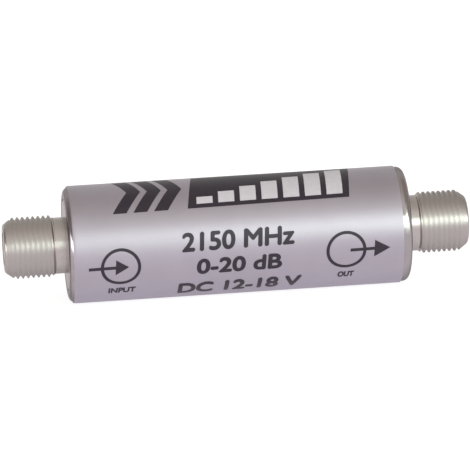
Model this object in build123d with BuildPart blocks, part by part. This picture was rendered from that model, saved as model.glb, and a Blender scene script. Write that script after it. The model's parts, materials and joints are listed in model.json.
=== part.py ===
# In-line TV signal amplifier: a metal tube with a threaded F socket at each end.
#
# X runs along the tube, from the input socket at -X to the output socket at +X. Z is up, and the printed
# side faces -Y. The origin is the middle of the tube, on its axis. All sizes are in millimetres.
# In the names, "inward" is the distance from an end face of the tube towards its middle.

import math
import os

from build123d import *

os.makedirs("parts", exist_ok=True)

# Housing tube, rolled over an end plug at both ends
body_length = 52.4
tube_outer_radius = 8.83
tube_wall = 1.33
seat_wall = 0.68
lip_width = 1.83
lip_thickness = 0.7
lip_edge_radius = 0.2
rim_radius = 1.0

# Printed film round the tube, lapped over itself at the back. It sits a little off the middle: at the input
# end it folds over the rounded rim, and at the output end it stops short of it.
film_thickness = 0.15
film_gap = 0.02
film_fold_angle = 18.0
film_bare_margin = 0.45
film_lap_angle = 12.0

# End plug: flange, hub, neck and boss
flange_thickness = 2.4
flange_clearance = 0.05
hub_clearance = 0.1
hub_edge_chamfer = 0.15
neck_length = 1.75
boss_radius = 5.5
boss_length = 3.0
groove_width = 1.1
groove_depth = 0.8

# F socket: 3/8-32 UNEF thread, with its crests and roots cut short by as much as a plug's nut allows
thread_major_radius = 4.72
thread_pitch = 0.79375
thread_length = 7.75
thread_depth_share = 0.504
thread_root_flat_share = 0.231
thread_flank_angle = 30.0
thread_start_bevel = 0.6
thread_cutter_overrun = 0.05
neck_relief = 0.02
mouth_chamfer_length = 1.5
mouth_chamfer_depth = 1.1
mouth_chamfer_round = 0.5

# F socket: the bore and the ridges that hold its plastic
core_bore_radius = 3.1
mouth_lip_radius = 2.5
mouth_lip_thickness = 0.8
stake_width = 0.4
stake_height = 0.25
stake_land = 0.2

# Plastic bush and disc in the socket
bush_clearance = 0.05
nose_recess = 0.15
core_hole_radius = 0.75
core_hole_depth = 1.6
core_hole_lead_in = 0.3
contact_room_clearance = 0.17
rear_disc_thickness = 2.3

# Spring contact
collar_seat = 0.3
collar_thickness = 0.6
leaf_thickness = 0.25
leaf_width = 1.6
leaf_root_gap = 1.1
leaf_pinch_gap = 0.5
leaf_tip_gap = 1.0
leaf_flare_length = 1.0
leaf_end_clearance = 0.35
tail_radius = 0.3
tail_reach = 1.5
tail_clearance = 0.05

# Seal ring
seal_clearance = 0.01

# Circuit board and its copper
board_thickness = 0.8
board_side_gap = 0.9
board_end_gap = 0.1
board_slot_depth = 2.0
board_slot_clearance = 0.05
copper_thickness = 0.05
signal_track_width = 1.2
supply_track_width = 0.9
stub_track_width = 0.6
track_end_gap = 0.2
ground_plane_end_gap = 0.1
ground_plane_side_gap = 0.3

# Solder
solder_film = 0.05
contact_bead_inset = 0.05
contact_bead_cover = 0.2
contact_bead_round = 0.2
contact_bead_overlap = 0.5
contact_bead_gap = 0.01
ground_bead_leg = 0.8
ground_bead_length = 1.4
ground_bead_hollow = 0.12

# Amplifier chips: a round body with four flat leads
stage_body_radius = 1.1
stage_body_height = 1.0
stage_lead_span = 4.8
stage_lead_width = 0.5
stage_lead_thickness = 0.15
stage_pad_width = 1.2
stage_top_chamfer = 0.15

# Chip capacitors and resistors
terminal_plating = 0.05
coupling_chip = {"length": 2.0, "width": 1.25, "height": 0.9, "terminal": 0.4}
bypass_chip = {"length": 1.6, "width": 0.8, "height": 0.8, "terminal": 0.35}
bias_chip = {"length": 2.0, "width": 1.25, "height": 0.5, "terminal": 0.4}
dropper_chip = {"length": 3.2, "width": 1.6, "height": 0.55, "terminal": 0.6}

# Moulded supply capacitor and surge diode: a block with a flat lead at each end
tantalum_block = {"length": 3.5, "width": 2.8, "height": 1.9, "lead_length": 0.5, "lead_width": 2.2}
diode_block = {"length": 2.7, "width": 1.6, "height": 1.15, "lead_length": 0.45, "lead_width": 0.6}
block_lead_thickness = 0.15
block_draft_chamfer = 0.25

# Supply regulator: three leads on one side and a tab on the other
regulator_length = 4.5
regulator_width = 2.5
regulator_height = 1.5
regulator_lead_length = 1.0
regulator_lead_width = 0.45
regulator_lead_spacing = 1.5
regulator_lead_thickness = 0.4
regulator_tab_length = 0.5
regulator_tab_width = 1.7

# Air-core chokes: a few open turns, with a leg down to the board at each end
choke_wire_radius = 0.15
choke_mean_radius = 1.2
choke_turns = 5
choke_copper_gap = 0.2
choke_leg_offset = 0.2

# Places along the board, as shares of half its length from the middle
input_choke_share = -0.75
input_capacitor_share = -0.61
first_stage_share = -0.386
middle_capacitor_share = -0.08
dropper_share = 0.03
regulator_share = 0.175
second_stage_share = 0.3
output_capacitor_share = 0.64
output_choke_share = 0.75
bias_resistor_shares = (-0.23, 0.46)
bypass_capacitor_shares = (-0.345, -0.12, 0.33, 0.55)
tantalum_share = -0.2
diode_share = 0.52

# Places across the board, as shares of half its width from the middle
raw_track_share = 0.71
supply_track_share = -0.815

# How far a cutting shape runs past what it cuts
cut_overrun = 0.5

# Derived places of the end plug, all along its axis
half_body = body_length / 2
seat_depth = lip_thickness + flange_thickness
boss_end = seat_depth + boss_length
slot_floor = boss_end - board_slot_depth
stake_front = slot_floor - stake_land
collar_back = stake_front - rear_disc_thickness
collar_front = collar_back - collar_thickness
mouth_face = neck_length + thread_length
bush_shoulder = mouth_face - mouth_lip_thickness
nose_face = mouth_face - nose_recess
core_hole_floor = nose_face - core_hole_depth
leaf_tip = core_hole_floor - leaf_end_clearance
tail_end = boss_end + tail_reach

# Derived radii of the tube
tube_bore_radius = tube_outer_radius - tube_wall
seat_bore_radius = tube_outer_radius - seat_wall
lip_opening_radius = tube_outer_radius - lip_width

# Derived radii of the end plug
flange_radius = seat_bore_radius - flange_clearance
hub_radius = lip_opening_radius - hub_clearance
groove_radius = flange_radius - groove_depth
thread_root_radius = thread_major_radius - thread_depth_share * thread_pitch
neck_radius = thread_root_radius - neck_relief
bush_radius = core_bore_radius - bush_clearance
stake_radius = core_bore_radius - stake_height
widest_leaf_gap = max(leaf_root_gap, leaf_tip_gap)
leaf_corner_radius = math.hypot(leaf_width / 2, widest_leaf_gap / 2 + leaf_thickness)
contact_room_radius = leaf_corner_radius + contact_room_clearance
collar_radius = contact_room_radius + collar_seat

# Derived places of the board
copper_top = -tail_radius - solder_film
board_top = copper_top - copper_thickness
board_bottom = board_top - board_thickness
half_board = half_body - slot_floor - board_end_gap
half_board_width = math.sqrt(tube_bore_radius**2 - board_bottom**2) - board_side_gap
board_width = 2 * half_board_width
raw_track_y = raw_track_share * half_board_width
supply_track_y = supply_track_share * half_board_width

# Each end has a plane through the tube's axis. Its X runs outward from the end face and its Y is up.
ends = {
    "input": Plane(origin=(-half_body, 0, 0), x_dir=(-1, 0, 0), z_dir=(0, 1, 0)),
    "output": Plane(origin=(half_body, 0, 0), x_dir=(1, 0, 0), z_dir=(0, -1, 0)),
}


def axis_of(end_plane):
    """The tube's axis, pointing outward at one end"""
    return Axis(end_plane.origin, end_plane.x_dir)


def thread_turn(start):
    """One turn of the groove between two thread crests, about the local X axis"""
    crest_radius = thread_major_radius + thread_cutter_overrun
    root_half = thread_root_flat_share * thread_pitch / 2
    slope = math.tan(math.radians(thread_flank_angle))
    crest_half = root_half + (crest_radius - thread_root_radius) * slope
    corners = [
        (thread_root_radius, start - root_half),
        (crest_radius, start - crest_half),
        (crest_radius, start + crest_half),
        (thread_root_radius, start + root_half),
    ]
    curves = [
        Edge.make_helix(thread_pitch, thread_pitch, radius, center=(place, 0, 0), normal=(1, 0, 0))
        for radius, place in corners
    ]
    pairs = list(zip(curves, curves[1:] + curves[:1]))
    faces = [Face.make_surface_from_curves(first, second) for first, second in pairs]
    for end in (0, 1):
        faces.append(Face(Wire([Edge.make_line(first @ end, second @ end) for first, second in pairs])))
    return Solid(Shell(faces))


# Housing tube
with BuildPart() as housing_tube:
    with BuildSketch(Plane.XZ) as tube_section:
        with BuildLine():
            Polyline(
                (-half_body, lip_opening_radius),
                (-half_body, tube_outer_radius),
                (half_body, tube_outer_radius),
                (half_body, lip_opening_radius),
                (half_body - lip_thickness, lip_opening_radius),
                (half_body - lip_thickness, seat_bore_radius),
                (half_body - seat_depth, seat_bore_radius),
                (half_body - seat_depth, tube_bore_radius),
                (seat_depth - half_body, tube_bore_radius),
                (seat_depth - half_body, seat_bore_radius),
                (lip_thickness - half_body, seat_bore_radius),
                (lip_thickness - half_body, lip_opening_radius),
                close=True,
            )
        make_face()
        fillet(tube_section.vertices().group_by(Axis.Y)[-1], rim_radius)
        outer_corners = tube_section.vertices().group_by(Axis.Y)[0].group_by(Axis.X)
        fillet(outer_corners[0] + outer_corners[-1], lip_edge_radius)
    revolve(axis=Axis.X)
housing_tube.part.label = "housing_tube"
export_step(housing_tube.part, "parts/housing_tube.step")

# Label film: its outline along the axis, from the fold at the input end to the bare margin at the output end
film_inner_radius = tube_outer_radius + film_gap
film_outer_radius = film_inner_radius + film_thickness
film_end = half_body - rim_radius - film_bare_margin


def film_outline(layers):
    """The edges round a number of film layers, as drawn from the axis outward"""
    fold_centre = (rim_radius - half_body, tube_outer_radius - rim_radius)
    outer_radius = tube_outer_radius + film_gap + layers * film_thickness
    inner_fold = CenterArc(fold_centre, rim_radius + film_gap, 90, film_fold_angle)
    outer_fold = CenterArc(fold_centre, outer_radius - fold_centre[1], 90, film_fold_angle)
    Line(inner_fold @ 1, outer_fold @ 1)
    Polyline(outer_fold @ 0, (film_end, outer_radius), (film_end, film_inner_radius), inner_fold @ 0)


with BuildPart() as label_film:
    with BuildSketch(Plane.XY):
        with BuildLine():
            film_outline(layers=1)
        make_face()
    revolve(axis=Axis.X)
    with BuildSketch(Plane.XY.rotated((-film_lap_angle / 2, 0, 0))):
        with BuildLine():
            film_outline(layers=2)
        make_face()
    revolve(axis=Axis.X, revolution_arc=film_lap_angle)
label_film.part.label = "label_film"
export_step(label_film.part, "parts/label_film.step")

# The thread's groove, turn by turn, made once for both ends
turn_count = int(thread_length / thread_pitch) + 2
groove_turns = [
    thread_turn(neck_length - thread_pitch / 2 + turn * thread_pitch) for turn in range(turn_count)
]

# End plugs, with the F sockets
groove_middle = lip_thickness + flange_thickness / 2
groove_half = groove_width / 2
stake_back = stake_front + stake_width
for end, end_plane in ends.items():
    with BuildPart() as connector_body:
        with BuildSketch(end_plane) as plug_section:
            with BuildLine():
                Polyline(
                    (-boss_end, core_bore_radius),
                    (-boss_end, boss_radius),
                    (-seat_depth, boss_radius),
                    (-seat_depth, flange_radius),
                    (-groove_middle - groove_half, flange_radius),
                    (-groove_middle - groove_half, groove_radius),
                    (-groove_middle + groove_half, groove_radius),
                    (-groove_middle + groove_half, flange_radius),
                    (-lip_thickness, flange_radius),
                    (-lip_thickness, hub_radius),
                    (-hub_edge_chamfer, hub_radius),
                    (0, hub_radius - hub_edge_chamfer),
                    (0, neck_radius),
                    (neck_length, neck_radius),
                    (neck_length + thread_start_bevel, thread_major_radius),
                    (mouth_face - mouth_chamfer_length, thread_major_radius),
                    (mouth_face, thread_major_radius - mouth_chamfer_depth),
                    (mouth_face, mouth_lip_radius),
                    (bush_shoulder, mouth_lip_radius),
                    (bush_shoulder, core_bore_radius),
                    (-stake_front, core_bore_radius),
                    (-stake_front, stake_radius),
                    (-stake_back, stake_radius),
                    (-stake_back, core_bore_radius),
                    close=True,
                )
            make_face()
            chamfer_ends = [
                (mouth_face - mouth_chamfer_length, thread_major_radius),
                (mouth_face, thread_major_radius - mouth_chamfer_depth),
            ]
            corners = [plug_section.vertices().sort_by_distance(place)[0] for place in chamfer_ends]
            fillet(corners, mouth_chamfer_round)
        revolve(axis=axis_of(end_plane))
        add([turn.moved(end_plane.location) for turn in groove_turns], mode=Mode.SUBTRACT)
        slot_length = board_slot_depth + cut_overrun
        with BuildSketch(end_plane):
            with Locations((-slot_floor - slot_length / 2, (board_top + board_bottom) / 2)):
                Rectangle(slot_length, board_thickness + 2 * board_slot_clearance)
        extrude(amount=boss_radius + cut_overrun, both=True, mode=Mode.SUBTRACT)
    connector_body.part.label = f"{end}_connector_body"
    export_step(connector_body.part, f"parts/{end}_connector_body.step")

# Plastic bushes, pushed up to the mouth from behind
collar_room_radius = collar_radius + bush_clearance
for end, end_plane in ends.items():
    with BuildPart() as insulator:
        with BuildSketch(end_plane):
            with BuildLine():
                Polyline(
                    (-collar_back, collar_room_radius),
                    (-collar_back, bush_radius),
                    (bush_shoulder, bush_radius),
                    (bush_shoulder, mouth_lip_radius - bush_clearance),
                    (nose_face, mouth_lip_radius - bush_clearance),
                    (nose_face, core_hole_radius + core_hole_lead_in),
                    (nose_face - core_hole_lead_in, core_hole_radius),
                    (core_hole_floor, core_hole_radius),
                    (core_hole_floor, contact_room_radius),
                    (-collar_front, contact_room_radius),
                    (-collar_front, collar_room_radius),
                    close=True,
                )
            make_face()
        revolve(axis=axis_of(end_plane))
    insulator.part.label = f"{end}_insulator"
    export_step(insulator.part, f"parts/{end}_insulator.step")

# Spring contacts: a collar, two leaves that pinch the cable's core, and a solder tail
for end, end_plane in ends.items():
    with BuildPart() as contact:
        with BuildSketch(end_plane):
            with BuildLine():
                Polyline(
                    (-tail_end, 0),
                    (-tail_end, tail_radius),
                    (-collar_back, tail_radius),
                    (-collar_back, collar_radius),
                    (-collar_front, collar_radius),
                    (-collar_front, 0),
                    close=True,
                )
            make_face()
        revolve(axis=axis_of(end_plane))
        with BuildSketch(end_plane):
            with BuildLine():
                Polyline(
                    (-collar_front, leaf_root_gap / 2),
                    (leaf_tip - leaf_flare_length, leaf_pinch_gap / 2),
                    (leaf_tip, leaf_tip_gap / 2),
                    (leaf_tip, leaf_tip_gap / 2 + leaf_thickness),
                    (leaf_tip - leaf_flare_length, leaf_pinch_gap / 2 + leaf_thickness),
                    (-collar_front, leaf_root_gap / 2 + leaf_thickness),
                    close=True,
                )
            make_face()
            mirror(about=Plane.XZ)
        extrude(amount=leaf_width / 2, both=True)
    contact.part.label = f"{end}_contact"
    export_step(contact.part, f"parts/{end}_contact.step")

# Discs behind the contacts, held in by the staked ridge
for end, end_plane in ends.items():
    with BuildPart() as rear_insulator:
        with BuildSketch(end_plane):
            with BuildLine():
                Polyline(
                    (-stake_front, tail_radius + tail_clearance),
                    (-stake_front, bush_radius),
                    (-collar_back, bush_radius),
                    (-collar_back, tail_radius + tail_clearance),
                    close=True,
                )
            make_face()
        revolve(axis=axis_of(end_plane))
    rear_insulator.part.label = f"{end}_rear_insulator"
    export_step(rear_insulator.part, f"parts/{end}_rear_insulator.step")

# Rubber rings, as squeezed between the groove and the tube
seal_section_radius = (seat_bore_radius - groove_radius) / 2 - seal_clearance
for end, end_plane in ends.items():
    with BuildPart() as seal_ring:
        with BuildSketch(end_plane):
            with Locations((-groove_middle, (seat_bore_radius + groove_radius) / 2)):
                Circle(seal_section_radius)
        revolve(axis=axis_of(end_plane))
    seal_ring.part.label = f"{end}_seal_ring"
    export_step(seal_ring.part, f"parts/{end}_seal_ring.step")

# Circuit board
with BuildPart() as circuit_board:
    with BuildSketch(Plane.XY.offset(board_bottom)):
        Rectangle(2 * half_board, board_width)
    extrude(amount=board_thickness)
circuit_board.part.label = "circuit_board"
export_step(circuit_board.part, "parts/circuit_board.step")

# Ground plane, under the board between the two bosses
ground_half_length = half_body - boss_end - ground_plane_end_gap
with BuildPart() as ground_plane:
    with BuildSketch(Plane.XY.offset(board_bottom)):
        Rectangle(2 * ground_half_length, board_width - 2 * ground_plane_side_gap)
    extrude(amount=-copper_thickness)
ground_plane.part.label = "ground_plane"
export_step(ground_plane.part, "parts/ground_plane.step")

# Places of the chips: each is a centre and the angle of its long axis
coupling_places = [
    (share * half_board, 0, 0)
    for share in (input_capacitor_share, middle_capacitor_share, output_capacitor_share)
]
bypass_reach = bypass_chip["length"] - bypass_chip["terminal"]
bypass_places = [
    (share * half_board, supply_track_y + bypass_reach / 2, 90) for share in bypass_capacitor_shares
]
bias_reach = bias_chip["length"] - bias_chip["terminal"]
bias_places = [
    (share * half_board, supply_track_y + bias_reach / 2, 90) for share in bias_resistor_shares
]
dropper_place = (dropper_share * half_board, 0, 90)
tantalum_reach = tantalum_block["length"] + tantalum_block["lead_length"]
tantalum_place = (tantalum_share * half_board, raw_track_y - tantalum_reach / 2, 90)
diode_reach = diode_block["length"] + diode_block["lead_length"]
diode_place = (diode_share * half_board, raw_track_y - diode_reach / 2, 90)
stage_places = {
    "first_gain_stage": first_stage_share * half_board,
    "second_gain_stage": second_stage_share * half_board,
}
choke_places = {
    "input_choke": input_choke_share * half_board,
    "output_choke": output_choke_share * half_board,
}
regulator_x = regulator_share * half_board
regulator_y = supply_track_y + (regulator_lead_length + regulator_width) / 2

# Copper on top of the board, as rectangles from (low x, low y) to (high x, high y)
signal_half = signal_track_width / 2
supply_half = supply_track_width / 2
stub_half = stub_track_width / 2
line_end = half_body - boss_end - track_end_gap
capacitor_half_gap = coupling_chip["length"] / 2 - coupling_chip["terminal"]
breaks = [(x - capacitor_half_gap, x + capacitor_half_gap) for x, y, angle in coupling_places]
breaks += [(x - stage_body_radius, x + stage_body_radius) for x in stage_places.values()]
breaks.sort()
starts = [-line_end] + [high for low, high in breaks]
stops = [low for low, high in breaks] + [line_end]
tracks = [((start, -signal_half), (stop, signal_half)) for start, stop in zip(starts, stops)]

raw_ends = [x + side * (choke_mean_radius + supply_half) for x in choke_places.values() for side in (-1, 1)]
tracks.append(((min(raw_ends), raw_track_y - supply_half), (max(raw_ends), raw_track_y + supply_half)))
supply_chips = [x for x, y, angle in bypass_places + bias_places]
tracks.append(
    (
        (min(supply_chips) - supply_half, supply_track_y - supply_half),
        (max(supply_chips) + supply_half, supply_track_y + supply_half),
    )
)
for x, y, angle in bias_places:
    tracks.append(((x - stub_half, y + bias_reach / 2 - stub_half), (x + stub_half, 0)))
for x, y, angle in bypass_places:
    pad_y = y + bypass_reach / 2
    tracks.append(((x - supply_half, pad_y - stub_half), (x + supply_half, pad_y + stub_half)))
dropper_inner = dropper_chip["length"] / 2 - dropper_chip["terminal"]
dropper_x = dropper_place[0]
regulator_tab_y = regulator_y + regulator_width / 2
tracks.append(((dropper_x - supply_half, dropper_inner), (dropper_x + supply_half, raw_track_y)))
regulator_pour_end = regulator_x + regulator_tab_width / 2
tracks.append(((dropper_x - supply_half, regulator_tab_y), (regulator_pour_end, -dropper_inner)))
for (x, y, angle), reach in ((tantalum_place, tantalum_reach), (diode_place, diode_reach)):
    pad_y = y - reach / 2
    tracks.append(((x - supply_half, pad_y - stub_half), (x + supply_half, pad_y + stub_half)))
pad_inner = signal_half + stub_half
pad_outer = stage_lead_span / 2 + stub_half
for x in stage_places.values():
    for low, high in ((pad_inner, pad_outer), (-pad_outer, -pad_inner)):
        tracks.append(((x - stage_pad_width / 2, low), (x + stage_pad_width / 2, high)))

with BuildPart() as top_tracks:
    with BuildSketch(Plane.XY.offset(board_top)):
        for (low_x, low_y), (high_x, high_y) in tracks:
            with Locations(((low_x + high_x) / 2, (low_y + high_y) / 2)):
                Rectangle(high_x - low_x, high_y - low_y)
    extrude(amount=copper_thickness)
top_tracks.part.label = "top_tracks"
export_step(top_tracks.part, "parts/top_tracks.step")

# Amplifier chips
for name, x in stage_places.items():
    with BuildPart() as gain_stage:
        with BuildSketch(Plane.XY.offset(copper_top)):
            with Locations((x, 0)):
                Circle(stage_body_radius)
        extrude(amount=stage_body_height)
        chamfer(gain_stage.edges().group_by(Axis.Z)[-1], stage_top_chamfer)
        with BuildSketch(Plane.XY.offset(copper_top)):
            with Locations((x, 0)):
                Rectangle(stage_lead_span, stage_lead_width)
                Rectangle(stage_lead_width, stage_lead_span)
        extrude(amount=stage_lead_thickness)
    gain_stage.part.label = name
    export_step(gain_stage.part, f"parts/{name}.step")


# Chips: ceramic blocks with plated ends. The dropping resistor bridges the signal line.
chip_groups = {
    "coupling_capacitors": [(place, coupling_chip) for place in coupling_places],
    "bypass_capacitors": [(place, bypass_chip) for place in bypass_places],
    "bias_resistors": [(place, bias_chip) for place in bias_places] + [(dropper_place, dropper_chip)],
}
for name, chips in chip_groups.items():
    with BuildPart() as chip_group:
        for (x, y, angle), chip in chips:
            core_length = chip["length"] - 2 * terminal_plating
            core_width = chip["width"] - 2 * terminal_plating
            terminal_offset = (chip["length"] - chip["terminal"]) / 2
            with BuildSketch(Plane.XY.offset(copper_top)):
                with Locations(Location((x, y), angle)):
                    Rectangle(core_length, core_width)
            extrude(amount=chip["height"] - terminal_plating)
            with BuildSketch(Plane.XY.offset(copper_top)):
                with Locations(Location((x, y), angle)):
                    with Locations((-terminal_offset, 0), (terminal_offset, 0)):
                        Rectangle(chip["terminal"], chip["width"])
            extrude(amount=chip["height"])
    chip_group.part.label = name
    export_step(chip_group.part, f"parts/{name}.step")

# Moulded blocks: the supply capacitor and the surge diode
blocks = {"supply_capacitor": (tantalum_place, tantalum_block), "surge_diode": (diode_place, diode_block)}
for name, ((x, y, angle), block) in blocks.items():
    with BuildPart() as moulded_block:
        with BuildSketch(Plane.XY.offset(copper_top)):
            with Locations(Location((x, y), angle)):
                Rectangle(block["length"], block["width"])
        extrude(amount=block["height"])
        chamfer(moulded_block.faces().sort_by(Axis.Z)[-1].edges(), block_draft_chamfer)
        with BuildSketch(Plane.XY.offset(copper_top)):
            with Locations(Location((x, y), angle)):
                Rectangle(block["length"] + 2 * block["lead_length"], block["lead_width"])
        extrude(amount=block_lead_thickness)
    moulded_block.part.label = name
    export_step(moulded_block.part, f"parts/{name}.step")

# Supply regulator
with BuildPart() as supply_regulator:
    with BuildSketch(Plane.XY.offset(copper_top)):
        with Locations((regulator_x, regulator_y)):
            Rectangle(regulator_length, regulator_width)
    extrude(amount=regulator_height)
    chamfer(supply_regulator.faces().sort_by(Axis.Z)[-1].edges(), block_draft_chamfer)
    with BuildSketch(Plane.XY.offset(copper_top)):
        with Locations((regulator_x, regulator_y - (regulator_width + regulator_lead_length) / 2)):
            with GridLocations(regulator_lead_spacing, 0, 3, 1):
                Rectangle(regulator_lead_width, regulator_lead_length)
        with Locations((regulator_x, regulator_y + (regulator_width + regulator_tab_length) / 2)):
            Rectangle(regulator_tab_width, regulator_tab_length)
    extrude(amount=regulator_lead_thickness)
supply_regulator.part.label = "supply_regulator"
export_step(supply_regulator.part, "parts/supply_regulator.step")

# Chokes: each coil's axis lies along Y, from the signal line to the raw supply track
choke_height_above_copper = choke_mean_radius + choke_wire_radius + choke_copper_gap
choke_axis_height = copper_top + choke_height_above_copper
choke_sweep = choke_turns + 0.5
leg_turns = choke_height_above_copper / (2 * math.pi * choke_mean_radius)
choke_pitch = (raw_track_y - choke_leg_offset) / (choke_sweep + 2 * leg_turns)
leg_slope = choke_pitch / (2 * math.pi * choke_mean_radius)
leg_lift = choke_wire_radius * leg_slope
leg_drop = choke_height_above_copper - leg_lift
coil_start_y = choke_leg_offset + leg_slope * choke_height_above_copper


def coil_point(x, turns):
    """Where the coil's centre line is after some turns, and its direction there"""
    angle = 2 * math.pi * turns
    point = Vector(
        x + choke_mean_radius * math.cos(angle),
        coil_start_y + choke_pitch * turns,
        choke_axis_height + choke_mean_radius * math.sin(angle),
    )
    direction = Vector(
        -choke_mean_radius * math.sin(angle),
        choke_pitch / (2 * math.pi),
        choke_mean_radius * math.cos(angle),
    )
    return point, direction.normalized()


def biarc_middle(start, start_direction, stop, stop_direction):
    """Where the two arcs of a biarc meet"""
    chord = stop - start
    both = start_direction + stop_direction
    square = 2 * (1 - start_direction.dot(stop_direction))
    along = chord.dot(both)
    reach = (-along + math.sqrt(along * along + square * chord.dot(chord))) / square
    return (start + stop + (start_direction - stop_direction) * reach) / 2


def least_gap(points):
    """The least gap between two stretches of the wire that aren't neighbours along it"""
    steps = [(second - first).length for first, second in zip(points, points[1:])]
    walked = [sum(steps[:index]) for index in range(len(points))]
    half_turn = math.pi * choke_mean_radius
    gaps = [
        (points[low] - points[high]).length
        for high in range(len(points))
        for low in range(high)
        if walked[high] - walked[low] > half_turn
    ]
    return min(gaps) - 2 * choke_wire_radius


for name, x in choke_places.items():
    quarter_turns = [coil_point(x, quarter / 4) for quarter in range(int(4 * choke_sweep) + 1)]
    first_point, first_direction = quarter_turns[0]
    last_point, last_direction = quarter_turns[-1]
    leg_length = leg_drop / first_direction.Z
    leg_foot = first_point - first_direction * leg_length
    with BuildPart() as choke:
        with BuildLine() as wire_line:
            Line(leg_foot, first_point)
            for (start, leaving), (stop, arriving) in zip(quarter_turns, quarter_turns[1:]):
                middle = biarc_middle(start, leaving, stop, arriving)
                first_arc = TangentArc(start, middle, tangent=leaving)
                TangentArc(middle, stop, tangent=first_arc % 1)
            Line(last_point, last_point + last_direction * leg_length)
        with BuildSketch(Plane(origin=leg_foot, z_dir=first_direction)):
            Circle(choke_wire_radius)
        sweep(path=wire_line.wire())
    choke.part.label = name
    export_step(choke.part, f"parts/{name}.step")
    sampled = [wire_line.wire() @ (step / 240) for step in range(241)]
    print(f"{name}: least gap between its turns {least_gap(sampled):.2f} mm")

# Solder between each contact's tail and its track
with BuildPart() as contact_solder:
    bead_start = boss_end + track_end_gap
    bead_stop = tail_end + contact_bead_overlap
    bead_width = signal_track_width - 2 * contact_bead_inset
    bead_height = solder_film + 2 * tail_radius + contact_bead_cover
    for end_plane in ends.values():
        with BuildSketch(end_plane):
            with Locations((-(bead_start + bead_stop) / 2, copper_top + bead_height / 2)):
                Rectangle(bead_stop - bead_start, bead_height)
        extrude(amount=bead_width / 2, both=True)
    fillet(contact_solder.faces().group_by(Axis.Z)[-1].edges(), contact_bead_round)
    for end_plane in ends.values():
        with BuildSketch(end_plane):
            with Locations((-tail_end / 2, (tail_radius + contact_bead_gap) / 2)):
                Rectangle(tail_end, tail_radius + contact_bead_gap)
        revolve(axis=axis_of(end_plane), mode=Mode.SUBTRACT)
contact_solder.part.label = "contact_solder"
export_step(contact_solder.part, "parts/contact_solder.step")

# Solder between the ground plane and both bosses
ground_bead_y = (core_bore_radius + boss_radius) / 2
ground_face = board_bottom - copper_thickness
with BuildPart() as ground_solder:
    for end_plane in ends.values():
        for side in (-1, 1):
            with BuildSketch(end_plane.offset(side * ground_bead_y)):
                with BuildLine():
                    Line((-boss_end, ground_face - ground_bead_leg), (-boss_end, ground_face))
                    Line((-boss_end, ground_face), (-boss_end - ground_bead_leg, ground_face))
                    SagittaArc(
                        (-boss_end - ground_bead_leg, ground_face),
                        (-boss_end, ground_face - ground_bead_leg),
                        ground_bead_hollow,
                    )
                make_face()
            extrude(amount=ground_bead_length / 2, both=True)
ground_solder.part.label = "ground_solder"
export_step(ground_solder.part, "parts/ground_solder.step")

# Sizes that a reader may want to compare with a real part
overall_length = 2 * (half_body + mouth_face)
print(f"overall length {overall_length:.2f} mm, body diameter {2 * film_outer_radius:.2f} mm")
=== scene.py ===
import json
import math

import bmesh
import bpy
from mathutils import Matrix, Vector
from mathutils.geometry import delaunay_2d_cdt


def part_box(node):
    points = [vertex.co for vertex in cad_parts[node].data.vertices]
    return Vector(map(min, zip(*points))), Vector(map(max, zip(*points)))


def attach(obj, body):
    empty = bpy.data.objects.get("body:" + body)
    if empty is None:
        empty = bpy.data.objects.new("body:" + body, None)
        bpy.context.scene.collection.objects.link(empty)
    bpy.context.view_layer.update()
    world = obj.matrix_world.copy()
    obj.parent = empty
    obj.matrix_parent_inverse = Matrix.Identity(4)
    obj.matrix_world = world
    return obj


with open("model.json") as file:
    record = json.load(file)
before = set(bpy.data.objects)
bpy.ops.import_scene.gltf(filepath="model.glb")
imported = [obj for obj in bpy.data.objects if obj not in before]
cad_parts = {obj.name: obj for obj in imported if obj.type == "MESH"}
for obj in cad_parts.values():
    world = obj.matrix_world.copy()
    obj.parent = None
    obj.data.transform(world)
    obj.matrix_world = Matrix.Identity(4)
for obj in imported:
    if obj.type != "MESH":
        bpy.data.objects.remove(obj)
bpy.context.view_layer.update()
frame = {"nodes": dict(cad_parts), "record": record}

MM = 0.001

# Places of the model that the scene takes from the frame
_, tube_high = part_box("housing_tube")
_, film_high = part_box("label_film")
half_body = tube_high.x
film_radius = film_high.z
film_radius_mm = film_radius / MM

# The photograph: its size, the pixel where the model's origin falls, and how large a millimetre is there
image_size = 470
origin_pixel = (235.70, 234.12)
pixels_per_mm = 6.520
camera_distance = 0.650
camera_yaw = math.radians(5.92)
camera_elevation = math.radians(15)
camera_roll = math.radians(3.66)
sensor_width = 36.0
nearest_seen = 0.01
furthest_seen = 20


def make_camera():
    """The photograph's view: from slightly left and above, with the right end tilted up in the picture"""
    camera = bpy.data.cameras.new("camera")
    focal_pixels = pixels_per_mm * camera_distance / MM
    camera.sensor_width = sensor_width
    camera.lens = focal_pixels * sensor_width / image_size
    camera.shift_x = (image_size / 2 - origin_pixel[0]) / image_size
    camera.shift_y = (origin_pixel[1] - image_size / 2) / image_size
    camera.clip_start = nearest_seen
    camera.clip_end = furthest_seen
    holder = bpy.data.objects.new("camera", camera)
    bpy.context.scene.collection.objects.link(holder)
    forward = Vector((math.sin(camera_yaw), math.cos(camera_yaw), 0))
    right = Vector((math.cos(camera_yaw), -math.sin(camera_yaw), 0))
    up = Vector((0, 0, 1))
    level = Matrix((right, up, -forward)).transposed().to_4x4()
    level.translation = -camera_distance * forward
    raise_up = Matrix.Rotation(-camera_elevation, 4, "X")
    holder.matrix_world = raise_up @ level @ Matrix.Rotation(-camera_roll, 4, "Z")
    bpy.context.scene.camera = holder


def colour(red, green, blue):
    return (red, green, blue, 1.0)


white = colour(1.0, 1.0, 1.0)


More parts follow.
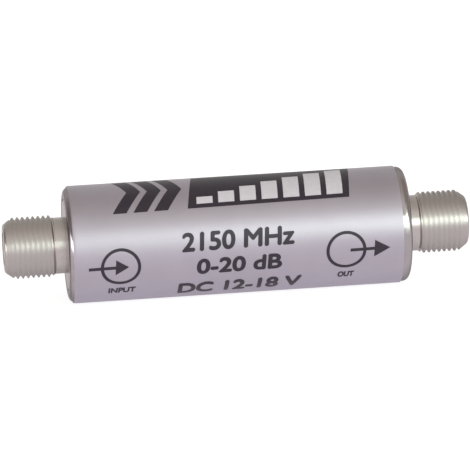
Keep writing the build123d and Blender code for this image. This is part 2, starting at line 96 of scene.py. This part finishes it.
class Tree:
    """A node tree with short calls. Most of them make a node, set it and return its output."""

    # A Mix node has its sockets for colours behind those for numbers and vectors
    mix_share, mix_first, mix_second = "0", "6", "7"
    mix_result = 2

    def __init__(self, tree):
        self.tree = tree
        tree.nodes.clear()

    def node(self, kind, settings=None, **inputs):
        made = self.tree.nodes.new("ShaderNode" + kind)
        for name, value in (settings or {}).items():
            setattr(made, name, value)
        for name, value in inputs.items():
            self.feed(made, name.replace("_", " "), value)
        return made

    def feed(self, node, name, value):
        socket = node.inputs[int(name)] if name.isdigit() else node.inputs[name]
        if isinstance(value, bpy.types.NodeSocket):
            self.tree.links.new(value, socket)
        else:
            socket.default_value = value

    def show(self, kind, shader):
        """Sends the shader node's result to an output node of that kind"""
        self.tree.links.new(shader.outputs[0], self.node(kind).inputs[0])

    def math(self, operation, *values):
        made = self.node("Math", {"operation": operation})
        for index, value in enumerate(values):
            self.feed(made, str(index), value)
        return made.outputs[0]

    def place(self):
        """The point on the object, in metres"""
        return self.node("TexCoord").outputs["Object"]

    def axes(self, vector):
        parts = self.node("SeparateXYZ", Vector=vector)
        return parts.outputs[0], parts.outputs[1], parts.outputs[2]

    def vector(self, x, y, z):
        return self.node("CombineXYZ", X=x, Y=y, Z=z).outputs[0]

    def unit(self, vector):
        return self.node("VectorMath", {"operation": "NORMALIZE"}, Vector=vector).outputs[0]

    def radius(self, y, z):
        """The distance from the tube's axis"""
        return self.math("SQRT", self.math("ADD", self.math("MULTIPLY", y, y), self.math("MULTIPLY", z, z)))

    def noise(self, vector, scale, detail=3.0, roughness=0.5):
        made = self.node("TexNoise", Vector=vector, Scale=scale, Detail=detail, Roughness=roughness)
        return made.outputs[0]

    def rings(self, scale):
        """Noise that changes along the axis and outward only, as tool marks on turned metal do"""
        x, y, z = self.axes(self.place())
        return self.noise(self.vector(x, self.radius(y, z), 0.0), scale, detail=4.0, roughness=0.6)

    def span(self, value, low, high, to_low=0.0, to_high=1.0):
        """The value, moved from the range low to high into the range to_low to to_high, and kept there"""
        made = self.node("MapRange")
        for index, number in enumerate((value, low, high, to_low, to_high)):
            self.feed(made, str(index), number)
        return made.outputs[0]

    def mix(self, share, first, second):
        made = self.node("Mix", {"data_type": "RGBA"})
        self.feed(made, self.mix_share, share)
        self.feed(made, self.mix_first, first)
        self.feed(made, self.mix_second, second)
        return made.outputs[self.mix_result]

    def tones(self, pattern, low, high, first, second):
        """The first colour, which turns to the second as the pattern goes from low to high"""
        return self.mix(self.span(pattern, low, high), colour(*first), colour(*second))

    def bump(self, height, distance, strength, normal=None):
        """The surface's own normal, or the one given, tilted by a relief"""
        made = self.node("Bump", Height=height, Distance=distance, Strength=strength)
        if normal is not None:
            self.feed(made, "Normal", normal)
        return made.outputs[0]


def new_material(name):
    material = bpy.data.materials.new(name)
    material.use_nodes = True
    tree = Tree(material.node_tree)
    shader = tree.node("BsdfPrincipled")
    tree.show("OutputMaterial", shader)
    return material, tree, shader


# Noise is scaled to a metre: 260 gives blotches of about 4 mm and 9000 a grain of about 0.1 mm.
# Nearly all of a noise lies between these two values.
noise_low = 0.3
noise_high = 0.7

film_tones = (0.425, 0.388, 0.448), (0.440, 0.402, 0.462)


def film_material():
    """Metallized film in a cool lilac silver, with a soft grain"""
    material, tree, shader = new_material("label_film")
    place = tree.place()
    blotches = tree.noise(place, scale=260.0)
    grain = tree.noise(place, scale=9000.0, detail=2.0)
    tree.feed(shader, "Base Color", tree.tones(blotches, 0.35, 0.65, *film_tones))
    tree.feed(shader, "Metallic", 0.9)
    tree.feed(shader, "Roughness", tree.span(grain, noise_low, noise_high, to_low=0.38, to_high=0.46))
    tree.feed(shader, "Normal", tree.bump(grain, distance=0.000004, strength=0.5))
    return material


dark_ink_tones = (0.015, 0.008, 0.018), (0.021, 0.013, 0.026)
pale_ink_tones = (0.56, 0.525, 0.58), (0.60, 0.565, 0.62)


def ink_material(name, tones):
    """Printing ink: half matt, with faint clouds of a second tone and a fine grain"""
    material, tree, shader = new_material(name)
    place = tree.place()
    cloud = tree.noise(place, scale=1400.0, detail=4.0)
    grain = tree.noise(place, scale=14000.0, detail=2.0)
    tree.feed(shader, "Base Color", tree.tones(cloud, 0.35, noise_high, *tones))
    tree.feed(shader, "Specular IOR Level", 0.5)
    tree.feed(shader, "Roughness", tree.span(grain, noise_low, noise_high, to_low=0.36, to_high=0.48))
    tree.feed(shader, "Normal", tree.bump(grain, distance=0.000004, strength=0.4))
    return material


# Metal seen edge-on is duller than a clean mirror
rim_edge_tint = colour(0.53, 0.51, 0.52)
plug_edge_tint = colour(0.90, 0.88, 0.87)

rim_tones = (0.36, 0.33, 0.335), (0.405, 0.38, 0.385)


def rim_material():
    """Polished nickel of the tube's rims, with fine rings"""
    material, tree, shader = new_material("rim_metal")
    rings = tree.rings(scale=5000.0)
    haze = tree.noise(tree.place(), scale=500.0, detail=4.0)
    tree.feed(shader, "Base Color", tree.tones(haze, noise_low, noise_high, *rim_tones))
    tree.feed(shader, "Metallic", 1.0)
    tree.feed(shader, "Specular Tint", rim_edge_tint)
    tree.feed(shader, "Roughness", tree.span(haze, noise_low, noise_high, to_low=0.12, to_high=0.22))
    tree.feed(shader, "Normal", tree.bump(rings, distance=0.000005, strength=0.4))
    return material


# The threaded metal lies past the neck, and further from the axis than the socket's mouth
neck_end = half_body + 0.0019
thread_begin = half_body + 0.0023
mouth_radius = 0.00375
thread_radius = 0.00390

plug_tones = (0.495, 0.455, 0.442), (0.455, 0.415, 0.407)
# Darker than the plug's tones: painted shade of the thread's grooves
thread_colour_with_painted_shade = colour(0.42, 0.386, 0.376)
thread_roughening = 0.1
ridge_dulling = 0.95


def connector_material():
    """Nickel plate on turned brass. The plating's gloss runs on over the thread and dulls its ridges, and the
    thread's darker colour is painted shade of its grooves.
    """
    material, tree, shader = new_material("connector_metal")
    place = tree.place()
    x, y, z = tree.axes(place)
    past_neck = tree.span(tree.math("ABSOLUTE", x), neck_end, thread_begin)
    outside = tree.span(tree.radius(y, z), mouth_radius, thread_radius)
    threaded = tree.math("MULTIPLY", outside, past_neck)
    stain = tree.noise(place, scale=700.0, detail=5.0, roughness=0.6)
    smooth = tree.tones(stain, 0.35, noise_high, *plug_tones)
    tree.feed(shader, "Base Color", tree.mix(threaded, smooth, thread_colour_with_painted_shade))
    tree.feed(shader, "Metallic", 1.0)
    tree.feed(shader, "Specular Tint", plug_edge_tint)
    gloss = tree.span(stain, noise_low, noise_high, to_low=0.20, to_high=0.28)
    tree.feed(shader, "Roughness", tree.math("MULTIPLY_ADD", threaded, thread_roughening, gloss))
    outward = tree.unit(tree.vector(0.0, y, z))
    surface = tree.node("NewGeometry").outputs["Normal"]
    dulled = tree.unit(tree.mix(tree.math("MULTIPLY", threaded, ridge_dulling), surface, outward))
    tool_marks = tree.rings(scale=3500.0)
    tree.feed(shader, "Normal", tree.bump(tool_marks, distance=0.000012, strength=0.5, normal=dulled))
    return material


blotch_scale = 900.0
grain_scale = 7200.0
grain_contrast = 0.15


def plain_material(name, first, second, roughness, metallic=0.0):
    """A material with slow blotches of a second colour, a fine grain and a little relief"""
    material, tree, shader = new_material(name)
    place = tree.place()
    blotches = tree.noise(place, blotch_scale)
    grain = tree.noise(place, grain_scale, detail=2.0)
    smoothest, roughest = roughness * (1 - grain_contrast), roughness * (1 + grain_contrast)
    tree.feed(shader, "Base Color", tree.tones(blotches, noise_low, noise_high, first, second))
    tree.feed(shader, "Metallic", metallic)
    tree.feed(shader, "Roughness", tree.span(grain, noise_low, noise_high, smoothest, roughest))
    tree.feed(shader, "Normal", tree.bump(grain, distance=0.00001, strength=0.6))
    return material


weave_pitch = 0.0004
laminate_tones = (0.035, 0.16, 0.07), (0.05, 0.21, 0.09)


def laminate_material():
    """Green solder mask over the weave of the fibreglass"""
    material, tree, shader = new_material("board_laminate")
    x, y, _ = tree.axes(tree.place())
    threads = 2 * math.pi / weave_pitch
    warp = tree.math("SINE", tree.math("MULTIPLY", x, threads))
    weft = tree.math("SINE", tree.math("MULTIPLY", y, threads))
    weave = tree.math("MULTIPLY", warp, weft)
    tree.feed(shader, "Base Color", tree.tones(weave, -1.0, 1.0, *laminate_tones))
    tree.feed(shader, "Roughness", tree.span(weave, -1.0, 1.0, to_low=0.32, to_high=0.42))
    tree.feed(shader, "Normal", tree.bump(weave, distance=0.00001, strength=0.3))
    return material


# The floor shines by itself, to be white in the picture. Metal mirrors it less bright, and least bright where
# it lies below the tube and behind it: that dimming is a painted shadow of the tube in the floor's
# reflection.
floor_size = 8
floor_grey = colour(0.5, 0.5, 0.5)
floor_shine = 0.80
mirrored_tint = colour(1.0, 0.95, 1.02)
mirrored_in_front = 0.62
mirrored_in_painted_shadow = 0.44
front_y = -0.008
painted_shadow_y = 0.001


def floor_material():
    """A pale floor that shows white where it is lit and keeps the object's shadow"""
    material = bpy.data.materials.new("floor")
    material.use_nodes = True
    tree = Tree(material.node_tree)
    rays = tree.node("LightPath")
    seen = rays.outputs["Is Camera Ray"]
    _, y, _ = tree.axes(tree.place())
    # The glow seen in reflections fades from the front to below the tube: painted shadow of the tube
    mirrored = tree.span(y, front_y, painted_shadow_y, mirrored_in_front, mirrored_in_painted_shadow)
    direct_shine = tree.math("MULTIPLY", seen, floor_shine)
    mirrored_shine = tree.math("MULTIPLY", rays.outputs["Is Glossy Ray"], mirrored)
    shine = tree.math("MAXIMUM", direct_shine, mirrored_shine)
    matte = tree.node("BsdfDiffuse", Color=floor_grey)
    glow = tree.node("Emission", Color=tree.mix(seen, mirrored_tint, white), Strength=shine)
    both = tree.node("AddShader")
    tree.feed(both, "0", matte.outputs[0])
    tree.feed(both, "1", glow.outputs[0])
    tree.show("OutputMaterial", both)
    return material


def make_floor():
    bpy.ops.mesh.primitive_grid_add(
        x_subdivisions=2, y_subdivisions=2, size=floor_size, location=(0, 0, -film_radius))
    floor = bpy.context.object
    floor.name = "floor"
    floor.data.materials.append(floor_material())


# The room's brightness by the angle around the tube's axis: 0 degrees is at the camera's side, 90 overhead
room_levels = [
    (-180, 0.95), (-90, 0.95), (0, 1.0), (60, 0.99), (87, 0.83),
    (115, 0.61), (140, 0.65), (165, 0.80), (180, 0.86),
]

# Overhead the room lacks this share of its blue, and a quarter of that share of its green
overhead_warmth = 0.12

# Its darker places: one high at each side, in this direction along X and Z, and one at the left end
high_side = (0.72, 0.69)
high_side_colour = colour(0.47, 0.41, 0.38)
left_colour = colour(0.30, 0.28, 0.27)


def dark_share(tree, toward, outer, inner):
    """How much of a dark place shows: none beyond its outer angle in degrees, all within the inner one"""
    return tree.span(toward, math.cos(math.radians(outer)), math.cos(math.radians(inner)))


def make_world():
    """A plain bright room, darker overhead, high at both sides and at the left. The camera sees it white."""
    world = bpy.data.worlds.new("room")
    bpy.context.scene.world = world
    world.use_nodes = True
    tree = Tree(world.node_tree)
    x, y, z = tree.axes(tree.node("TexCoord").outputs["Generated"])
    angle = tree.math("ARCTAN2", z, tree.math("MULTIPLY", y, -1.0))
    ramp = tree.node("ValToRGB", Fac=tree.span(angle, -math.pi, math.pi))
    elements = ramp.color_ramp.elements
    while len(elements) < len(room_levels):
        elements.new(0.5)
    for element, (degrees, level) in zip(elements, room_levels):
        element.position = (degrees + 180) / 360
        warmth = overhead_warmth * max(0.0, math.sin(math.radians(degrees)))
        element.color = colour(level, level * (1 - warmth / 4), level * (1 - warmth))
    aside = tree.math("MULTIPLY", tree.math("ABSOLUTE", x), high_side[0])
    toward_high_side = tree.math("ADD", aside, tree.math("MULTIPLY", z, high_side[1]))
    toward_left = tree.math("MULTIPLY", x, -1.0)
    high_share = dark_share(tree, toward_high_side, outer=46, inner=28)
    left_share = dark_share(tree, toward_left, outer=62, inner=35)
    room = tree.mix(left_share, tree.mix(high_share, ramp.outputs[0], high_side_colour), left_colour)
    seen = tree.node("LightPath").outputs["Is Camera Ray"]
    tree.show("OutputWorld", tree.node("Background", Color=tree.mix(seen, room, white), Strength=1.0))


light_distance = 0.80
key_tone = (0.84, 1.0, 0.88)
rim_tone = (1.0, 0.98, 1.0)


def make_softbox(name, azimuth, elevation, width, height, radiance, tone=key_tone):
    """An area light that faces the origin. Azimuth 0 is at -Y and grows towards +X, in degrees."""
    light = bpy.data.lights.new(name, "AREA")
    light.color = tone
    light.shape = "RECTANGLE"
    light.size = width
    light.size_y = height
    light.energy = radiance * math.pi * width * height
    holder = bpy.data.objects.new(name, light)
    bpy.context.scene.collection.objects.link(holder)
    turn, lift = math.radians(azimuth), math.radians(elevation)
    side = Vector((math.sin(turn) * math.cos(lift), -math.cos(turn) * math.cos(lift), math.sin(lift)))
    holder.location = side * light_distance
    holder.rotation_mode = "QUATERNION"
    holder.rotation_quaternion = (-side).to_track_quat("-Z", "Y")


def make_lights():
    """A key light at the right, its weaker edge in front, one light for each rim, and a faint fill"""
    make_softbox("key", azimuth=30.0, elevation=18.0, width=0.60, height=0.35, radiance=3.15)
    make_softbox("key_edge", azimuth=3.0, elevation=18.0, width=0.19, height=0.35, radiance=0.85)
    make_softbox(
        "rim_left", azimuth=-60.0, elevation=6.0, width=0.80, height=0.28, radiance=3.6, tone=rim_tone)
    make_softbox("rim_right", azimuth=57.0, elevation=6.5, width=0.30, height=0.30, radiance=2.8)
    make_softbox("fill_right", azimuth=38.0, elevation=5.0, width=0.60, height=1.40, radiance=0.27)


# The label's print. It is drawn flat, in millimetres: x along the tube, s around it and upwards over the
# front, from the line of the label that faces the camera. On the film it isn't square: its lines along the
# tube rise a little to the right, and its lines around the tube lean to the right, which leaves the points at
# one s where they are.
label_skew = math.tan(math.radians(0.75))
label_lean = math.tan(math.radians(3.7))
unmoved_s = -3.7

# Each layer of ink starts inside what it is printed on and stands a little proud of it
ink_sunk_mm = 0.02
ink_proud_mm = 0.03
second_ink_mm = 0.015

# The layers bend in narrow strips, without the slivers that the cuts between strips and letters would leave
strip_angle = math.radians(2)
sliver_area = 1e-6
sliver_width = 0.001
flat_tolerance = 1e-5
crease_angle = math.radians(30)


def on_label(x, s, lift_mm):
    """The place in space of a flat point of the label, lifted off the film"""
    angle = camera_elevation + (s + label_skew * x) / film_radius_mm
    radius = film_radius_mm + lift_mm
    along = x + label_lean * (s - unmoved_s)
    return Vector((along, -radius * math.cos(angle), radius * math.sin(angle))) * MM


def flat_union(polygons):
    """One flat mesh of triangles that covers all the polygons, with no overlap"""
    corners, faces = [], []
    for polygon in polygons:
        faces.append(list(range(len(corners), len(corners) + len(polygon))))
        corners.extend(Vector(point) for point in polygon)
    triangles_inside = 1
    points, _, triangles, _, _, covered = delaunay_2d_cdt(
        corners, [], faces, triangles_inside, flat_tolerance)
    flat = bmesh.new()
    made = [flat.verts.new((point.x, point.y, 0)) for point in points]
    for triangle, sources in zip(triangles, covered):
        if sources:
            flat.faces.new([made[index] for index in triangle])
    loose = [vertex for vertex in flat.verts if not vertex.link_faces]
    bmesh.ops.delete(flat, geom=loose, context="VERTS")
    return flat


def cut_in_strips(flat):
    """Cuts a flat mesh along the tube wherever its bent form turns by another strip's angle"""
    strip = strip_angle * film_radius_mm
    heights = [vertex.co.y for vertex in flat.verts]
    for step in range(math.ceil(min(heights) / strip), math.floor(max(heights) / strip) + 1):
        everything = flat.verts[:] + flat.edges[:] + flat.faces[:]
        bmesh.ops.bisect_plane(
            flat, geom=everything, dist=flat_tolerance, plane_co=(0, step * strip, 0), plane_no=(0, 1, 0))
    bmesh.ops.remove_doubles(flat, verts=flat.verts[:], dist=sliver_width)
    flat.verts.index_update()
    flat.normal_update()


def print_piece(name, polygons, material, floor_mm=-ink_sunk_mm, top_mm=ink_proud_mm):
    """A thin closed layer of ink over the polygons, bent onto the label"""
    flat = flat_union(polygons)
    cut_in_strips(flat)
    count = len(flat.verts)
    points = [on_label(vertex.co.x, vertex.co.y, floor_mm) for vertex in flat.verts]
    points += [on_label(vertex.co.x, vertex.co.y, top_mm) for vertex in flat.verts]
    faces = []
    for face in flat.faces:
        if face.normal.z < 0:
            face.normal_flip()
        around = [vertex.index for vertex in face.verts]
        faces.append([index + count for index in around])
        faces.append(around[::-1])
        for loop in face.loops:
            if loop.edge.is_boundary:
                first, last = loop.vert.index, loop.link_loop_next.vert.index
                faces.append([first, last, last + count, first + count])
    flat.free()
    mesh = bpy.data.meshes.new(name)
    mesh.from_pydata(points, [], faces)
    mesh.validate()
    mesh.shade_smooth()
    mesh.set_sharp_from_angle(angle=crease_angle)
    mesh.materials.append(material)
    piece = bpy.data.objects.new(name, mesh)
    bpy.context.scene.collection.objects.link(piece)
    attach(piece, "root")


def stroke(path, width, closed=False):
    """A line of that width along the path, as one four-cornered polygon for each of its stretches"""
    sides = []
    count = len(path)
    for index, point in enumerate(path):
        before = Vector(path[index - 1] if closed or index else point)
        after = Vector(path[(index + 1) % count] if closed or index < count - 1 else point)
        along = (after - before).normalized()
        across = Vector((-along.y, along.x)) * (width / 2)
        sides.append((Vector(point) + across, Vector(point) - across))
    stretches = range(count) if closed else range(count - 1)
    polygons = []
    for index in stretches:
        left, right = sides[index]
        next_left, next_right = sides[(index + 1) % count]
        polygons.append([left, right, next_right, next_left])
    return polygons


ring_points = 60


def ring(centre, radius, width):
    """A circle that stays upright on the label, whose other lines lean"""
    turns = [2 * math.pi * step / ring_points for step in range(ring_points)]
    path = [(radius * math.cos(a) - label_lean * radius * math.sin(a), radius * math.sin(a)) for a in turns]
    return stroke([(centre[0] + x, centre[1] + s) for x, s in path], width, True)


def arrowhead(tip, length, half_width):
    """A triangle that points to the right"""
    return [tip, (tip[0] - length, tip[1] + half_width), (tip[0] - length, tip[1] - half_width)]


def print_word(name, body, box, boldness, material):
    """A short word in the plain built-in lettering, stretched to fill a box of the label and thickened"""
    left, right, low, high = box
    curve = bpy.data.curves.new(name, "FONT")
    curve.body = body
    holder = bpy.data.objects.new(name + "_flat", curve)
    bpy.context.scene.collection.objects.link(holder)
    bpy.context.view_layer.update()
    letters = bpy.data.meshes.new_from_object(holder)
    bpy.data.objects.remove(holder)
    across = [vertex.co.x for vertex in letters.vertices]
    upward = [vertex.co.y for vertex in letters.vertices]
    weight = boldness * (high - low)
    x_scale = (right - left - weight) / (max(across) - min(across))
    s_scale = (high - low - weight) / (max(upward) - min(upward))
    flat = bmesh.new()
    flat.from_mesh(letters)
    bmesh.ops.triangulate(flat, faces=flat.faces[:])
    for vertex in flat.verts:
        x, s = vertex.co.x - min(across), vertex.co.y - min(upward)
        vertex.co = Vector((left + weight / 2 + x * x_scale, low + weight / 2 + s * s_scale, 0))
    solid_faces = [face for face in flat.faces if face.calc_area() > sliver_area]
    polygons = [[vertex.co.xy.copy() for vertex in face.verts] for face in solid_faces]
    for edge in flat.edges:
        if edge.is_boundary:
            polygons += stroke([vertex.co.xy.copy() for vertex in edge.verts], weight)
    flat.free()
    print_piece(name, polygons, material)


# The print over the top: three chevrons, then a panel with a row of growing bars
top_low = 4.6
top_high = 12.9

chevron_count = 3
chevron_left = -19.8
chevron_spacing = 3.15
chevron_thickness = 2.1
chevron_point = 2.2

panel_bottom = (-8.38, 16.34)
panel_top = (-7.56, 16.66)
bar_count = 7
bar_left = -7.0
bar_spacing = 3.32
bar_width = 2.45
bar_low = top_low + 0.7
first_bar_top = top_low + 2.0
bar_growth = 0.88


def print_chevrons(ink):
    middle = (top_low + top_high) / 2
    halves = []
    for step in range(chevron_count):
        back = chevron_left + chevron_spacing * step
        front = back + chevron_thickness
        tip = front + chevron_point
        upper = [(back, top_high), (front, top_high), (tip, middle), (tip - chevron_thickness, middle)]
        lower = [(x, 2 * middle - s) for x, s in upper]
        halves += [upper, lower]
    print_piece("chevrons", halves, ink)


def print_panel(panel_ink, bar_ink):
    bottom = [(panel_bottom[0], top_low), (panel_bottom[1], top_low)]
    print_piece("panel", [bottom + [(panel_top[1], top_high), (panel_top[0], top_high)]], panel_ink)
    bars = []
    for step in range(bar_count):
        left = bar_left + bar_spacing * step
        right = left + bar_width
        top = first_bar_top + bar_growth * step
        bars.append([(left, bar_low), (right, bar_low), (right, top), (left, top)])
    print_piece("panel_bars", bars, bar_ink, ink_proud_mm - ink_sunk_mm, ink_proud_mm + second_ink_mm)


# The marks of input and output: an arrow into a circle and an arrow out of one
mark_s = -3.85
mark_radius = 2.83
mark_line = 0.48


def print_mark(name, centre, shaft, tip, head_length, head_half_width, ink):
    """A circle, with an arrow whose shaft runs between two places along the tube and into its head"""
    circle = ring((centre, mark_s), mark_radius, mark_line)
    line = stroke([(x, mark_s) for x in shaft], mark_line)
    print_piece(name, circle + line + [arrowhead((tip, mark_s), head_length, head_half_width)], ink)


def print_marks(ink):
    print_mark(
        "input_mark", centre=-18.53, shaft=(-23.4, -19.2), tip=-17.3,
        head_length=2.0, head_half_width=1.25, ink=ink)
    print_mark(
        "output_mark", centre=15.87, shaft=(16.5, 20.4), tip=22.6,
        head_length=2.4, head_half_width=1.36, ink=ink)


# The words of both marks, and three rows of plain numbers and units: the text, the box that it fills (left,
# right, low and high), and how much its strokes are thickened, as a share of its height
words = {
    "input_word": ("INPUT", (-20.15, -16.0, -9.05, -7.75), 0.1),
    "output_word": ("OUT", (14.9, 17.4, -9.05, -7.75), 0.1),
    "upper_row": ("2150 MHz", (-9.35, 7.85, -2.2, 0.8), 0.09),
    "middle_row": ("0-20 dB", (-6.95, 6.1, -6.1, -3.4), 0.1),
    "lower_row": ("DC 12-18 V", (-9.45, 9.4, -10.7, -7.8), 0.1),
}


def print_label():
    """The label's print, in dark ink but for the panel's pale bars"""
    dark = ink_material("dark_ink", dark_ink_tones)
    pale = ink_material("pale_ink", pale_ink_tones)
    print_chevrons(dark)
    print_panel(dark, pale)
    print_marks(dark)
    for name, (body, box, boldness) in words.items():
        print_word(name, body, box, boldness, dark)


# Plain finishes by material slot: two tones, the roughness and, for a metal, a metallic share of 1
plain_finishes = {
    "socket_plastic": ((0.83, 0.80, 0.72), (0.87, 0.85, 0.79), 0.45),
    "contact_metal": ((0.76, 0.58, 0.30), (0.66, 0.50, 0.26), 0.22, 1.0),
    "seal_rubber": ((0.02, 0.02, 0.02), (0.035, 0.033, 0.03), 0.7),
    "track_copper": ((0.70, 0.45, 0.28), (0.60, 0.36, 0.22), 0.3, 1.0),
    "capacitor_ceramic": ((0.42, 0.30, 0.20), (0.50, 0.38, 0.27), 0.4),
    "resistor_ceramic": ((0.02, 0.02, 0.025), (0.04, 0.04, 0.045), 0.35),
    "chip_moulding": ((0.02, 0.02, 0.02), (0.035, 0.035, 0.035), 0.55),
    "tantalum_moulding": ((0.72, 0.46, 0.10), (0.78, 0.52, 0.14), 0.45),
    "choke_wire": ((0.62, 0.27, 0.12), (0.72, 0.34, 0.16), 0.25, 1.0),
    "solder": ((0.66, 0.66, 0.68), (0.55, 0.55, 0.58), 0.28, 1.0),
}


def dress_frame():
    """Gives every node of the frame its material"""
    by_slot = {
        "housing_metal": rim_material(),
        "label_print": film_material(),
        "connector_metal": connector_material(),
        "board_laminate": laminate_material(),
    }
    for slot, finish in plain_finishes.items():
        by_slot[slot] = plain_material(slot, *finish)
    for row in frame["record"]["subparts"]:
        node = frame["nodes"][row["node"]]
        node.data.materials.clear()
        node.data.materials.append(by_slot[row["material_slot"]])


make_camera()
make_world()
make_floor()
make_lights()
dress_frame()
print_label()

bpy.context.scene.view_settings.view_transform = "Standard"
